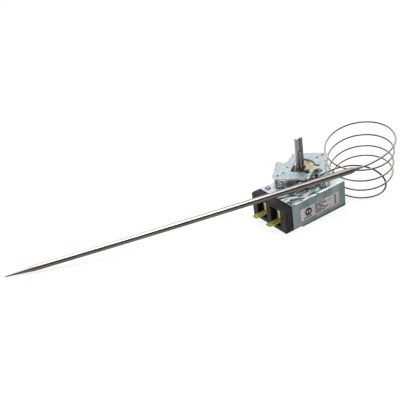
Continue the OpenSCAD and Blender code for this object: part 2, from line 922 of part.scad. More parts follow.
module capillary_sleeve() {
    color(bronze)
        translate(outlet)
            rotate([0, 90 - tail_climb, 0])
                translate([0, 0, 0.8])
                    difference() {
                        cylinder(d = tube_d + 1.6, h = 3.2);
                        translate([0, 0, -1])
                            cylinder(d = tube_d + 0.4, h = 6);
                    }
}

module sensing_bulb() {
    r = bulb_d / 2;
    t = tube_d / 2;
    color(bright)
        translate(bulb_start)
            along(bulb_dir)
                rotate_extrude()
                    polygon([[0, 0.05], [t + 0.35, 0.05], [t + 0.55, 1.5], [r * 0.8, neck_l * 0.6],
                        [r, neck_l], [r, bulb_l - point_l], [t, bulb_l - point_l * 0.5],
                        [tip_r, bulb_l], [0, bulb_l]]);
}

module lever_bracket() {
    color(steel_blue)
        difference() {
            union() {
                translate([-pivot_x - 3, -ear_in - bracket_t, z_case])
                    cube([6, 2 * (ear_in + bracket_t), bracket_t]);
                for (s = [0, 1])
                    mirror([0, s, 0])
                        translate([-pivot_x - 2.4, ear_in, z_case])
                            cube([4.8, bracket_t, pivot_z + 2.4 - z_case]);
            }
            translate([-pivot_x, -10, pivot_z])
                rotate([-90, 0, 0])
                    cylinder(d = pivot_d + 2 * fit, h = 20);
            translate([0, 0, z_case - 1])
                at_bracket_holes()
                    cylinder(d = foot_rivet_d + 2 * fit, h = 4);
        }
}

module lever_pin() {
    reach = ear_in + bracket_t;
    color(shaft_grey) {
        translate([-pivot_x, -reach, pivot_z])
            rotate([-90, 0, 0])
                cylinder(d = pivot_d, h = 2 * reach);
        for (s = [0, 1])
            mirror([0, s, 0])
                translate([-pivot_x, reach, pivot_z])
                    rotate([-90, 0, 0])
                        cylinder(d = pivot_d + 1.2, h = 0.7);
    }
}

module control_shaft() {
    flat_x = flat_across - shaft_d / 2;
    color(shaft_grey)
        difference() {
            union() {
                translate([0, 0, screw_low])
                    cylinder(d = screw_d, h = screw_l + 0.1);
                translate([0, 0, screw_top])
                    cylinder(d = journal_d + 2, h = collar_t);
                translate([0, 0, screw_top])
                    cylinder(d = journal_d, h = shaft_step - screw_top);
                translate([0, 0, shaft_step - 0.1])
                    cylinder(d = shaft_d, h = shaft_h - shaft_step - 0.4);
                translate([0, 0, shaft_h - 0.5])
                    cylinder(d1 = shaft_d, d2 = shaft_d - 1, h = 0.5);
            }
            rotate([0, 0, flat_dir])
                translate([flat_x, -5, shaft_h - flat_l])
                    cube([10, 10, flat_l + 1]);
            translate([0, 0, ring_top - ring_t - 0.05])
                difference() {
                    cylinder(d = journal_d + 1, h = ring_t + 0.1);
                    translate([0, 0, -1])
                        cylinder(d = journal_d - 1, h = 3);
                }
        }
}

module stop_disc() {
    color(bronze)
        translate([0, 0, disc_low])
            difference() {
                union() {
                    cylinder(r = disc_r, h = disc_t);
                    rotate([0, 0, lug_dir - lug_ang / 2])
                        rotate_extrude(angle = lug_ang)
                            translate([journal_d, 0])
                                square([lug_r - journal_d, disc_t - 0.4]);
                }
                translate([0, 0, -1])
                    cylinder(d = journal_d + 2 * fit, h = disc_t + 2);
                for (i = [0 : teeth - 1])
                    if (abs((i * 360 / teeth + 720 - lug_dir) % 360 - 180) < 180 - lug_ang / 2 - 12)
                        rotate([0, 0, i * 360 / teeth])
                            translate([disc_r, 0, -1])
                                rotate([0, 0, tooth_slant])
                                    translate([-tooth_l, -tooth_gap / 2, 0])
                                        cube([tooth_l + 2, tooth_gap, disc_t + 2]);
            }
}

module retaining_ring() {
    color(shaft_grey)
        translate([0, 0, ring_top - ring_t])
            difference() {
                cylinder(d = journal_d + 1.8, h = ring_t);
                translate([0, 0, -1])
                    cylinder(d = journal_d - 0.9, h = 3);
                translate([0, -1.8, -1])
                    cube([8, 3.6, 3]);
            }
}

module range_nut() {
    fork = pin_r + pin_d / 2 + 0.4;
    color(brass)
        difference() {
            union() {
                translate([0, 0, nut_low])
                    cylinder(d = nut_d, h = nut_top - nut_low);
                rotate([0, 0, pin_dir])
                    translate([nut_d / 2 - 1.5, -pin_d / 2 - 1.4, nut_under])
                        cube([fork - nut_d / 2 + 1.5, pin_d + 2.8, nut_web]);
            }
            translate([0, 0, nut_low - 1])
                cylinder(d = screw_d + 2 * run_gap, h = 10);
            translate([0, 0, nut_low - 1])
                cylinder(d = spring_d + 0.9, h = nut_under - nut_low + 1);
            rotate([0, 0, pin_dir])
                translate([pin_r - pin_d / 2 - 0.4, -pin_d / 2 - 0.2, nut_low - 1])
                    cube([pin_d + 4, pin_d + 0.4, 10]);
        }
}

module lever() {
    x1 = push_x + 3.4;
    color(steel_blue)
        difference() {
            union() {
                translate([-pivot_x - 3, -lever_w / 2, lever_low])
                    cube([x1 + pivot_x + 3, lever_w, lever_t]);
                for (s = [0, 1])
                    mirror([0, s, 0])
                        translate([-pivot_x - 2.4, lever_w / 2 - lever_t, ear_low])
                            cube([6, lever_t, lever_low - ear_low + eps]);
            }
            translate([-pivot_x, -10, pivot_z])
                rotate([-90, 0, 0])
                    cylinder(d = pivot_d + 2 * run_gap, h = 20);
            translate([push_x, push_y, lever_low - 1])
                cylinder(d = 3 + 2 * fit, h = 4);
        }
}

module range_spring() {
    r = (spring_d - wire_d) / 2;
    low = lever_top + wire_d / 2;
    high = spring_top - wire_d / 2;
    steps = spring_turns * 20;
    color(shaft_grey)
        swept_tube([for (i = [0 : steps])
            [r * cos(i * 18), r * sin(i * 18), low + (high - low) * i / steps]],
            wire_d / 2 - 0.02, 8);
}

module calibration_screw() {
    color(brass)
        translate([push_x, push_y, 0])
            difference() {
                union() {
                    translate([0, 0, push_top])
                        cylinder(d = 3, h = lever_top - push_top + eps);
                    translate([0, 0, lever_top])
                        cylinder(d = 5, h = 1.6);
                }
                translate([-3, -0.4, lever_top + 0.9])
                    cube([6, 0.8, 2]);
            }
}

module transfer_pin() {
    color(bakelite)
        translate([push_x, push_y, z_blade + touch_gap])
            cylinder(d = push_d, h = push_top - z_blade - 2 * touch_gap);
}

module capsule_button() {
    color(bright)
        translate([cap_x, -cap_y, cap_top + touch_gap])
            cylinder(d = button_d, h = lever_low - cap_top - 2 * touch_gap);
}

module switch_blade() {
    x0 = x_room + tab_t + 1;
    color(bronze)
        difference() {
            translate([x0, push_y - blade_w / 2, z_blade - blade_t])
                cube([push_x + 2 - x0, blade_w, blade_t]);
            translate([x0 + 6, push_y - 0.8, z_blade - 2])
                cube([contact_x - x0 - 18, 1.6, 4]);
        }
}

module moving_contact() {
    color(bright)
        translate([contact_x, push_y, z_contact])
            cylinder(d = contact_d, h = contact_h);
}

case_cover();
switch_base();
mounting_bridge();
case_rivets();
window_plate();
bearing_strip();
hub_bushing();
stop_pin();
cover_screws();
terminal_common();
terminal_load();
terminal_rivets();
load_bracket();
common_bracket();
fixed_contact();
capsule();
capillary_tube();
capillary_sleeve();
sensing_bulb();
lever_bracket();
lever_pin();
control_shaft();
stop_disc();
retaining_ring();
range_nut();
lever();
range_spring();
calibration_screw();
transfer_pin();
capsule_button();
switch_blade();
moving_contact();
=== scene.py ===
"""Looks of the capillary thermostat: camera, materials, smooth tube and bulb, label and light.

The frame has its origin on the shaft's axis at the top of the mounting plate, with +X along the
case towards the coil, +Y to the back and +Z up the shaft. Lengths are in metres, apart from the
tube, the bulb and the label, which are worked out in millimetres and scaled by MM.
"""

import math

import bmesh
import bpy
from mathutils import Matrix, Vector


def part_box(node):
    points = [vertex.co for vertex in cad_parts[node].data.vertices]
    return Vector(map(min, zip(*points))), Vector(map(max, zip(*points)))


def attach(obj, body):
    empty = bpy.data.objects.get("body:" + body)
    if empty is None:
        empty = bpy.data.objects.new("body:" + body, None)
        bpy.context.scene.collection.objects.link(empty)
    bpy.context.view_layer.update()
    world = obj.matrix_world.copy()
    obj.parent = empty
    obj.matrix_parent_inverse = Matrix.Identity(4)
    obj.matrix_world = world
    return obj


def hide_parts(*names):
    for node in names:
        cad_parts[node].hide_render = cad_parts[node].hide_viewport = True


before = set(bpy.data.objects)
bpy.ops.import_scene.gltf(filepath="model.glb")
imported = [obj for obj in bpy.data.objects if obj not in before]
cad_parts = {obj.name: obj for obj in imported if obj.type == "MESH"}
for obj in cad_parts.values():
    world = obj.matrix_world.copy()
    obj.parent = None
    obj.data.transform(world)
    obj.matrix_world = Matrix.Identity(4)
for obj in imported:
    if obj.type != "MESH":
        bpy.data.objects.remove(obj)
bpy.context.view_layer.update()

MM = 0.001
CASE_LOW, CASE_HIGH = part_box("case_cover")
CAPSULE_LOW, CAPSULE_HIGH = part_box("capsule")
GROUND = CASE_LOW.z

# Level directions: the one that the photographed corner of the case faces, and the one across it
FACING = (-0.47, -0.88)
ACROSS = (0.88, -0.47)

# Camera, fitted to the edges of the case and the plate in the photograph
SENSOR_W = 36.0
PHOTO_PX = 400.0
FOCAL_PX = 658.27
AZIMUTH = math.radians(-28.134)
ELEVATION = math.radians(29.777)
ROLL = math.radians(-9.677)
CAMERA_AT = Vector((-0.31897, -0.40299, 0.27186))
NEAR_CLIP = 0.01
FAR_CLIP = 20.0


def make_camera():
    """Looks at the object from the photograph's place, rolled about the line of sight."""
    back = Vector((math.sin(AZIMUTH) * math.cos(ELEVATION),
                   -math.cos(AZIMUTH) * math.cos(ELEVATION),
                   math.sin(ELEVATION)))
    side = Vector((0, 0, 1)).cross(back).normalized()
    up = back.cross(side)
    rolled_side = math.cos(ROLL) * side + math.sin(ROLL) * up
    rolled_up = -math.sin(ROLL) * side + math.cos(ROLL) * up
    turn = Matrix((rolled_side, rolled_up, back)).transposed().to_4x4()
    data = bpy.data.cameras.new("camera")
    data.sensor_width = SENSOR_W
    data.lens = FOCAL_PX * SENSOR_W / PHOTO_PX
    data.clip_start = NEAR_CLIP
    data.clip_end = FAR_CLIP
    camera = bpy.data.objects.new("camera", data)
    camera.matrix_world = Matrix.Translation(CAMERA_AT) @ turn
    bpy.context.scene.collection.objects.link(camera)
    bpy.context.scene.camera = camera


make_camera()


# Node trees

WHITE = (1, 1, 1)
DARK = (0, 0, 0)


class Tree:
    """Adds nodes to the tree of a material or a world and gives back their outputs."""

    def __init__(self, owner):
        owner.use_nodes = True
        self.nodes = owner.node_tree.nodes
        self.links = owner.node_tree.links
        self.nodes.clear()

    def feed(self, socket, value):
        """Links an input to an output, or sets it to a number, a direction or a colour."""
        if hasattr(value, "is_linked"):
            self.links.new(value, socket)
        elif socket.type == "RGBA":
            socket.default_value = (*value, 1)
        else:
            socket.default_value = value

    def node(self, kind, inputs, **settings):
        """Adds a node with its settings and feeds its inputs, by name or by number."""
        new = self.nodes.new("ShaderNode" + kind)
        for name, value in settings.items():
            setattr(new, name, value)
        for key, value in inputs.items():
            self.feed(new.inputs[key], value)
        return new

    def maths(self, operation, a, b=0.0, clamp=False):
        """Result of one operation on one or two numbers."""
        return self.node("Math", {0: a, 1: b}, operation=operation, use_clamp=clamp).outputs[0]

    def plus(self, a, b):
        """Sum of two numbers."""
        return self.maths("ADD", a, b)

    def times(self, a, b, clamp=False):
        """Product of two numbers."""
        return self.maths("MULTIPLY", a, b, clamp)

    def flip(self, value, clamp=False):
        """One minus a number."""
        return self.maths("SUBTRACT", 1.0, value, clamp)

    def ease(self, value, low, high):
        """Rises from 0 at low to 1 at high."""
        return self.node("MapRange", {"Value": value, "From Min": low, "From Max": high}).outputs[0]

    def span(self, value, low, high):
        """Runs from low to high while a value goes from 0 to 1."""
        return self.node("MapRange", {"Value": value, "To Min": low, "To Max": high}).outputs[0]

    def split(self, vector):
        """The three numbers of a vector."""
        return self.node("SeparateXYZ", {0: vector}).outputs

    def dot(self, vector, direction):
        """Length of a vector along a direction."""
        product = self.node("VectorMath", {0: vector, 1: direction}, operation="DOT_PRODUCT")
        return product.outputs["Value"]

    def mix(self, share, first, second):
        """Colour between two colours: 0 gives the first and 1 the second."""
        return self.node("Mix", {0: share, 6: first, 7: second}, data_type="RGBA").outputs[2]

    def ramp(self, value, stops):
        """Colour over a value, from stops that each hold a position and a colour."""
        new = self.node("ValToRGB", {0: value})
        elements = new.color_ramp.elements
        while len(elements) < len(stops):
            elements.new(0.5)
        for element, (position, colour) in zip(elements, stops):
            element.position = position
            element.color = (*colour, 1)
        return new.outputs[0]


class Surface(Tree):
    """A material of the object, painted by place in the frame and by the surface's direction."""

    def __init__(self, name):
        self.material = bpy.data.materials.new(name)
        super().__init__(self.material)
        self.place = self.node("TexCoord", {}).outputs["Object"]
        self.normal = self.node("NewGeometry", {}).outputs["Normal"]
        self.x, self.y, self.z = self.split(self.place)
        self.face_x, self.face_y, self.face_z = self.split(self.normal)
        self.shader = self.node("BsdfPrincipled", {})
        self.node("OutputMaterial", {0: self.shader.outputs[0]})

    def stretched(self, scale, turn=0.0):
        """Place in the frame, turned about the vertical and scaled along each axis."""
        inputs = {"Scale": scale, "Rotation": (0, 0, turn), 0: self.place}
        return self.node("Mapping", inputs).outputs[0]

    def noise(self, scale, detail, rough, place=None, distort=0.0):
        """Cloudy value, mostly from 0.3 to 0.7."""
        inputs = {"Scale": scale, "Detail": detail, "Roughness": rough, "Distortion": distort,
                  "Vector": place or self.place}
        return self.node("TexNoise", inputs).outputs[0]

    def along(self, direction):
        """Distance of the shaded point from the shaft's axis along a level direction."""
        return self.plus(self.times(self.x, direction[0]), self.times(self.y, direction[1]))

    def reach(self, x, y):
        """Level distance of the shaded point from a place in the frame."""
        square_x = self.maths("POWER", self.maths("SUBTRACT", self.x, x), 2.0)
        square_y = self.maths("POWER", self.maths("SUBTRACT", self.y, y), 2.0)
        return self.maths("SQRT", self.plus(square_x, square_y))

    def paint(self, colour, mask, strength, over):
        """Lays another colour over a colour where the mask is, at a strength."""
        return self.mix(self.times(mask, strength), colour, over)

    def rounded(self, radius):
        """Direction of the surface with its edges rounded by a radius."""
        return self.node("Bevel", {"Radius": radius}, samples=4).outputs[0]

    def edges(self, radius):
        """Grows towards the edges of a piece, for wear, and on the case also for a painted edge
        highlight.
        """
        return self.flip(self.dot(self.rounded(radius), self.normal), clamp=True)

    def brighten_edges(self, colour, mask, gain, bright):
        """Brightens a colour where a mask of the edges is."""
        return self.mix(self.times(mask, gain, clamp=True), colour, bright)

    def painted_crevice_shade(self, colour, dark, distance, gain):
        """Darkens a colour inside holes and narrow gaps, as painted shade."""
        light = self.node("AmbientOcclusion", {"Distance": distance}, samples=6).outputs["AO"]
        return self.mix(self.times(self.flip(light), gain, clamp=True), colour, dark)

    def relief(self, height, strength, distance, edge=None):
        """Roughens the surface by a height and rounds its edges, in its shading alone."""
        inputs = {"Strength": strength, "Distance": distance, "Height": height}
        if edge:
            inputs["Normal"] = self.rounded(edge)
        self.feed(self.shader.inputs["Normal"], self.node("Bump", inputs).outputs[0])

    def finish(self, colour, rough, metal=0.0, specular=0.5):
        """Feeds the shader and gives back the material."""
        values = {"Base Color": colour, "Roughness": rough, "Metallic": metal,
                  "Specular IOR Level": specular}
        for name, value in values.items():
            self.feed(self.shader.inputs[name], value)
        return self.material


# Zinc of the plate, the case and the small parts

def bridge_marks_and_painted_light(look, colour):
    """Adds the bridge's straw coloured sheared edge, painted shade and reflections on its legs and a
    dim painted reflection of the shaft.
    """
    flank = look.flip(look.ease(look.maths("ABSOLUTE", look.face_z), 0.3, 0.7))
    sheared = look.times(flank, look.ease(look.z, -0.0017, -0.0012))
    straw = look.ramp(look.noise(260, 2.0, 0.5),
                      [(0.35, (0.88, 0.80, 0.66)), (0.60, (0.98, 0.90, 0.82))])
    colour = look.mix(sheared, colour, straw)
    # Painted shade and painted reflections on the legs below the plate, in dark teal and mauve
    leg_shade_and_reflections = look.ramp(look.noise(110, 2.0, 0.5, distort=1.0),
                        [(0.36, (0.03, 0.09, 0.09)), (0.44, (0.30, 0.46, 0.50)),
                         (0.52, (0.78, 0.72, 0.82)), (0.60, (0.07, 0.14, 0.13))])
    legs = look.ease(look.z, -0.0025, -0.0040)
    colour = look.paint(colour, legs, 0.8, leg_shade_and_reflections)
    # Painted dim reflection of the shaft on the plate's top, in front of the shaft
    beside = look.maths("ABSOLUTE", look.along(ACROSS))
    shaft_reflection = look.flip(look.ease(beside, 0.0012, 0.0034))
    shaft_reflection = look.times(shaft_reflection, look.ease(look.along(FACING), 0.006, 0.012))
    shaft_reflection = look.times(shaft_reflection, look.ease(look.face_z, 0.7, 0.95))
    return look.paint(colour, shaft_reflection, 0.35, (0.17, 0.16, 0.27))


def zinc(name, base, tint, marks=None):
    """Zinc plate: fine spangle, faint blue and straw patches, light scratches."""
    look = Surface(name)
    patch = look.noise(75, 3.0, 0.55, distort=0.6)
    hue = look.ramp(patch, [(0.30, (0.32, 0.45, 0.50)), (0.45, base), (0.58, (0.50, 0.54, 0.57)),
                            (0.72, (0.52, 0.51, 0.45))])
    colour = look.mix(tint, base, hue)
    spangle = look.noise(700, 2.0, 0.6)
    speck = look.ramp(spangle, [(0.36, WHITE), (0.47, DARK)])
    colour = look.paint(colour, speck, 0.6, (0.17, 0.25, 0.28))
    glint = look.ramp(spangle, [(0.55, DARK), (0.64, WHITE)])
    colour = look.paint(colour, glint, 0.7, (0.72, 0.78, 0.80))
    # marks: more paint laid on top, for the bridge its sheared edge and its painted shade and
    # reflections
    if marks:
        colour = marks(look, colour)
    colour = look.brighten_edges(colour, look.edges(0.0006), 1.6, (0.90, 0.94, 0.95))
    colour = look.painted_crevice_shade(colour, (0.05, 0.06, 0.06), 0.003, 1.6)
    scratch = look.noise(1400, 1.0, 0.4, look.stretched((0.06, 1.0, 1.0), 0.6))
    grain = look.plus(look.times(spangle, 0.5), look.times(scratch, 0.5))
    look.relief(look.plus(look.times(spangle, 0.9), scratch), 0.3, 0.00008, edge=0.00025)
    return look.finish(colour, look.span(grain, 0.30, 0.48), metal=1.0)


def case_top(look):
    """Teal, white and dark patches of painted reflection, with rose at the back left, mint at the
    coil end and painted shade under the plate.
    """
    # Painted reflections: white and dark teal patches, as on a mirror-like top
    patch = look.noise(62, 1.0, 0.4, look.stretched((1.0, 1.9, 1.0), 0.5), distort=0.7)
    colour = look.ramp(patch, [(0.30, (0.02, 0.05, 0.05)), (0.38, (0.10, 0.28, 0.33)),
                               (0.42, (0.45, 0.62, 0.68)), (0.45, WHITE),
                               (0.51, WHITE), (0.54, (0.16, 0.32, 0.36)),
                               (0.58, (0.03, 0.07, 0.07)), (0.62, (0.55, 0.68, 0.72)),
                               (0.68, WHITE)])
    broad = look.noise(60, 2.0, 0.5)
    rose = look.mix(broad, (0.52, 0.48, 0.58), (0.58, 0.63, 0.68))
    back_left = look.times(look.ease(look.y, -0.006, 0.004), look.ease(look.x, 0.0, -0.012),
                           clamp=True)
    colour = look.paint(colour, back_left, 0.9, rose)
    mint = look.ramp(broad, [(0.38, (0.44, 0.53, 0.60)), (0.50, (0.60, 0.70, 0.68)),
                             (0.62, (0.78, 0.84, 0.84))])
    colour = look.mix(look.ease(look.x, 0.010, 0.018), colour, mint)
    shade = look.ease(look.reach(-0.002, 0.005), 0.015, 0.009)
    return look.paint(colour, shade, 0.85, (0.04, 0.10, 0.10))


def case_side(look):
    """Dull grey green sheet, with painted shade along its foot, at its lower corner, round the bend
    at the coil end and on its right edge.
    """
    soft = look.noise(70, 3.0, 0.6, look.stretched((1.6, 1.0, 0.5)))
    left = look.ramp(soft, [(0.35, (0.15, 0.185, 0.20)), (0.65, (0.255, 0.295, 0.31))])
    right = look.ramp(soft, [(0.35, (0.13, 0.175, 0.15)), (0.50, (0.21, 0.26, 0.225)),
                             (0.65, (0.25, 0.285, 0.29))])
    colour = look.mix(look.ease(look.x, -0.020, 0.025), left, right)
    # Painted shade along the foot
    foot = look.times(look.ease(look.z, -0.0400, -0.0440), look.ease(look.x, -0.030, 0.025))
    colour = look.paint(colour, foot, 0.85, (0.05, 0.075, 0.06))
    # Painted shade at the lower corner by the coil end
    corner = look.times(look.ease(look.x, 0.024, 0.030), look.ease(look.z, -0.037, -0.042))
    colour = look.paint(colour, corner, 0.7, (0.05, 0.07, 0.05))
    # Painted shade round the bend at the coil end
    bend = look.times(look.ease(look.x, 0.0275, 0.0300), look.ease(look.z, -0.0225, -0.0200))
    colour = look.paint(colour, bend, 0.8, (0.09, 0.15, 0.12))
    # Painted shade, near black, on the right edge where the sheet turns away
    return look.mix(look.ease(look.x, 0.0290, 0.0298), colour, (0.02, 0.022, 0.016))


def case_zinc(name):
    """Case sheet: a bright patchy top over dull sides."""
    look = Surface(name)
    top = look.ease(look.face_z, 0.45, 0.80)
    colour = look.mix(top, case_side(look), case_top(look))
    # Edges brightened for wear and as a painted highlight along them, left out round the bend at the
    # coil end
    edges = look.times(look.edges(0.0008), look.ease(look.x, 0.0302, 0.0285))
    colour = look.brighten_edges(colour, edges, 1.6, (0.85, 0.92, 0.92))
    colour = look.painted_crevice_shade(colour, (0.02, 0.03, 0.03), 0.004, 1.2)
    fine = look.noise(1100, 2.0, 0.6)
    wave = look.noise(70, 1.0, 0.4)
    rough = look.mix(top, (0.46, 0.46, 0.46), (0.34, 0.34, 0.34))
    rough = look.mix(look.span(fine, 0.0, 0.3), rough, (0.50, 0.50, 0.50))
    look.relief(look.plus(look.times(fine, 0.12), wave), 0.3, 0.0005, edge=0.0003)
    return look.finish(colour, rough, metal=look.flip(look.times(top, 0.6)))


# Other metals

def plain_metal(name, base, dark, rough, scale, stretch=(1, 1, 1), metal=1.0, up=None):
    """Turned, drawn or stamped metal with streaks, and another colour where it faces up, as painted
    shading between tops and sides.
    """
    look = Surface(name)
    streak = look.noise(scale, 3.0, 0.6, look.stretched(stretch))
    blot = look.noise(120, 3.0, 0.5)
    colour = look.mix(look.span(streak, 0.0, 0.6), base, dark)
    colour = look.mix(look.span(blot, 0.0, 0.35), colour, dark)
    # Painted shading: the upward faces take their own colour
    if up:
        colour = look.mix(look.ease(look.face_z, 0.5, 0.9), colour, up)
    bright = tuple(min(1.0, part * 1.35 + 0.05) for part in base)
    colour = look.brighten_edges(colour, look.edges(0.0004), 1.4, bright)
    colour = look.painted_crevice_shade(colour, tuple(part * 0.2 for part in dark), 0.0015, 1.1)
    look.relief(streak, 0.2, 0.00005, edge=0.00015)
    return look.finish(colour, look.span(streak, *rough), metal=metal)


DISC_TEETH = 26.0


def bronze(name):
    """Dull blotched bronze sheet, with painted light and shade of toothing on the disc's side and
    near black painted shade in a front notch.
    """
    look = Surface(name)
    blot = look.noise(430, 3.0, 0.6, distort=0.5)
    colour = look.ramp(blot, [(0.36, (0.16, 0.12, 0.075)), (0.46, (0.42, 0.355, 0.25)),
                              (0.54, (0.40, 0.35, 0.26)), (0.64, (0.72, 0.67, 0.54))])
    # Painted light on the teeth and painted shade between them, on the disc's side
    turn = look.maths("ARCTAN2", look.y, look.x)
    tooth = look.maths("SINE", look.times(turn, DISC_TEETH))
    teeth_light_and_shade = look.ramp(look.span(tooth, 0.0, 1.0),
                     [(0.40, (0.04, 0.025, 0.012)), (0.60, (0.70, 0.62, 0.48))])
    colour = look.mix(look.ease(look.x, -0.0012, -0.0026), colour, teeth_light_and_shade)
    # Painted shade, near black, in the front notch by the window's rim
    notch = look.ease(look.reach(-0.0008, -0.0108), 0.0036, 0.0016)
    colour = look.mix(notch, colour, (0.02, 0.014, 0.008))
    colour = look.painted_crevice_shade(colour, (0.03, 0.02, 0.01), 0.0015, 1.2)
    fine = look.noise(1200, 2.0, 0.6)
    look.relief(look.plus(fine, blot), 0.25, 0.00006, edge=0.00015)
    return look.finish(colour, look.span(fine, 0.34, 0.50), metal=1.0)


# The direction that the shaft's flat faces, the level direction across its painted highlight and
# reflection streaks and their width
FLAT_FACES = (0.0, -1.0, 0.0)
FLAT_REFLECTION_ACROSS = (0.885, -0.466)
FLAT_REFLECTION_W = 0.008


def turned_steel(name):
    """Ground bar: painted reflections round its axis, upright streaks of painted highlight and
    reflection on its flat, fine rings, a painted highlight on its end.
    """
    look = Surface(name)
    # Painted reflections: grey levels that change with the direction round the axis
    turn = look.maths("ARCTAN2", look.face_y, look.face_x)
    part = look.maths("ADD", look.maths("DIVIDE", turn, 2 * math.pi), 0.5, clamp=True)
    bands = look.ramp(part, [(0.0, (0.30, 0.30, 0.29)), (0.05, (0.36, 0.36, 0.35)),
                             (0.085, (0.17, 0.17, 0.165)), (0.125, (0.12, 0.12, 0.115)),
                             (0.16, (0.36, 0.36, 0.35)), (0.185, (0.34, 0.34, 0.33)),
                             (0.205, (0.09, 0.09, 0.085)), (0.235, (0.16, 0.155, 0.15)),
                             (0.30, (0.20, 0.195, 0.19)), (0.55, (0.38, 0.38, 0.37)),
                             (0.75, (0.18, 0.18, 0.175)), (0.9, (0.34, 0.34, 0.33))])
    # Painted highlight and reflection streaks across the flat
    slide = look.plus(look.times(look.along(FLAT_REFLECTION_ACROSS), 1 / FLAT_REFLECTION_W), 0.5)
    streaks = look.ramp(slide, [(0.24, (0.07, 0.07, 0.065)), (0.34, (0.38, 0.38, 0.375)),
                                (0.44, (0.34, 0.34, 0.335)), (0.52, (0.04, 0.04, 0.035)),
                                (0.68, (0.13, 0.13, 0.12)), (0.92, (0.20, 0.20, 0.19))])
    on_flat = look.ramp(look.dot(look.normal, FLAT_FACES), [(0.985, DARK), (0.995, WHITE)])
    colour = look.mix(on_flat, bands, streaks)
    ring = look.noise(900, 2.0, 0.5, look.stretched((0.2, 0.2, 3.0)))
    colour = look.mix(look.span(ring, 0.0, 0.3), colour, (0.10, 0.10, 0.10))
    # Painted highlight on the upward facing end
    end = look.ramp(look.face_z, [(0.6, DARK), (0.9, WHITE)])
    colour = look.mix(end, colour, (0.95, 0.95, 0.93))
    colour = look.painted_crevice_shade(colour, (0.04, 0.035, 0.03), 0.002, 1.2)
    look.relief(ring, 0.2, 0.00003, edge=0.00015)
    return look.finish(colour, look.span(ring, 0.24, 0.38), metal=1.0)


def tube_metal(name, base, stain, highlight_colour, highlight_from, rough, highlight_near=None):
    """Drawn stainless: brown grey, with a painted highlight where it faces up, and a duller one near
    the case.
    """
    look = Surface(name)
    stains = look.ramp(look.noise(60, 3.0, 0.6), [(0.40, DARK), (0.62, WHITE)])
    colour = look.mix(stains, base, stain)
    if highlight_near:
        highlight_colour = look.mix(look.ease(look.x, -0.17, -0.04), highlight_colour, highlight_near)
    # Painted highlight on the upward faces
    colour = look.mix(look.ease(look.face_z, *highlight_from), colour, highlight_colour)
    fine = look.noise(1300, 2.0, 0.6)
    look.relief(fine, 0.12, 0.00003)
    return look.finish(colour, look.span(fine, *rough), metal=1.0)


# Moulded base and label

def phenolic(name):
    """Black moulded phenolic with fine pits, flow marks and rubbed grey edges."""
    look = Surface(name)
    flow = look.noise(160, 3.0, 0.5, distort=0.8)
    colour = look.ramp(flow, [(0.30, (0.006, 0.006, 0.007)), (0.55, (0.012, 0.012, 0.013)),
                              (0.75, (0.024, 0.023, 0.023))])
    colour = look.brighten_edges(colour, look.edges(0.0005), 1.1, (0.06, 0.06, 0.06))
    fine = look.noise(1500, 2.0, 0.6)
    look.relief(look.plus(fine, look.times(flow, 0.6)), 0.25, 0.00008, edge=0.0003)
    return look.finish(colour, look.span(fine, 0.42, 0.62), specular=0.22)


def label_stock(name):
    """Aluminium label stock: pinkish silver grey with a soft grain and a paler left end."""
    look = Surface(name)
    blot = look.noise(150, 3.0, 0.5)
    colour = look.ramp(blot, [(0.35, (0.38, 0.365, 0.37)), (0.65, (0.46, 0.445, 0.45))])
    colour = look.mix(look.ease(look.x, -0.0170, -0.0200), colour, (0.52, 0.50, 0.50))
    fine = look.noise(1800, 2.0, 0.6)
    colour = look.mix(look.span(fine, 0.0, 0.15), colour, (0.25, 0.24, 0.25))
    look.relief(fine, 0.1, 0.00003)
    return look.finish(colour, look.span(fine, 0.45, 0.60), metal=0.35)


def label_print(name):
    """Dark print, slightly uneven."""
    look = Surface(name)
    blot = look.noise(500, 2.0, 0.5)
    colour = look.ramp(blot, [(0.3, (0.004, 0.004, 0.004)), (0.7, (0.02, 0.018, 0.018))])
    look.relief(blot, 0.05, 0.00002)
    return look.finish(colour, look.span(blot, 0.5, 0.7), specular=0.2)


ZINC_BLUE = (0.40, 0.50, 0.53)
ZINC = zinc("zinc_plate", ZINC_BLUE, 0.7)
BRIDGE_ZINC = zinc("zinc_bridge", ZINC_BLUE, 0.7, marks=bridge_marks_and_painted_light)
# Lever and its bracket: a dark teal copy of the zinc, as painted shade under the plate
SHADED_ZINC = zinc("zinc_inner_shaded", (0.07, 0.13, 0.12), 0.15)
CASE_ZINC = case_zinc("zinc_case")
PHENOLIC = phenolic("black_phenolic")
# Brass: bright upright faces and dark upward faces, painted light and shade
BRASS = plain_metal("brass_sheet", (0.95, 0.84, 0.22), (0.75, 0.64, 0.12), (0.28, 0.45), 420,
                    metal=0.6, up=(0.36, 0.32, 0.09))
BRONZE = bronze("bronze_sheet")
STEEL = plain_metal("shaft_steel", (0.36, 0.36, 0.36), (0.14, 0.14, 0.14), (0.20, 0.32), 900,
                    stretch=(1.0, 1.0, 0.05))
# Capillary and bulb: dark drawn steel with a painted highlight on the upper side
TUBE_STEEL = tube_metal("tube_steel", (0.07, 0.064, 0.055), (0.045, 0.04, 0.033),
                        (0.66, 0.62, 0.57), (0.82, 0.97), (0.16, 0.26))

# The colour of the bulb's painted highlight on its upper side, and the share of it that is left near
# the case
BULB_HIGHLIGHT = (0.58, 0.56, 0.535)
BULB_NEAR_SHARE = 0.42
BULB_STEEL = tube_metal("bulb_steel", (0.15, 0.135, 0.115), (0.12, 0.104, 0.085), BULB_HIGHLIGHT,
                        (0.62, 0.88), (0.24, 0.34),
                        highlight_near=tuple(part * BULB_NEAR_SHARE for part in BULB_HIGHLIGHT))

BRIGHT_METAL = plain_metal("bright_metal", (0.72, 0.71, 0.68), (0.50, 0.48, 0.44), (0.20, 0.32), 600)
LABEL_STOCK = label_stock("label_stock")
LABEL_PRINT = label_print("label_print")
SHAFT_STEEL = turned_steel("shaft_bar")

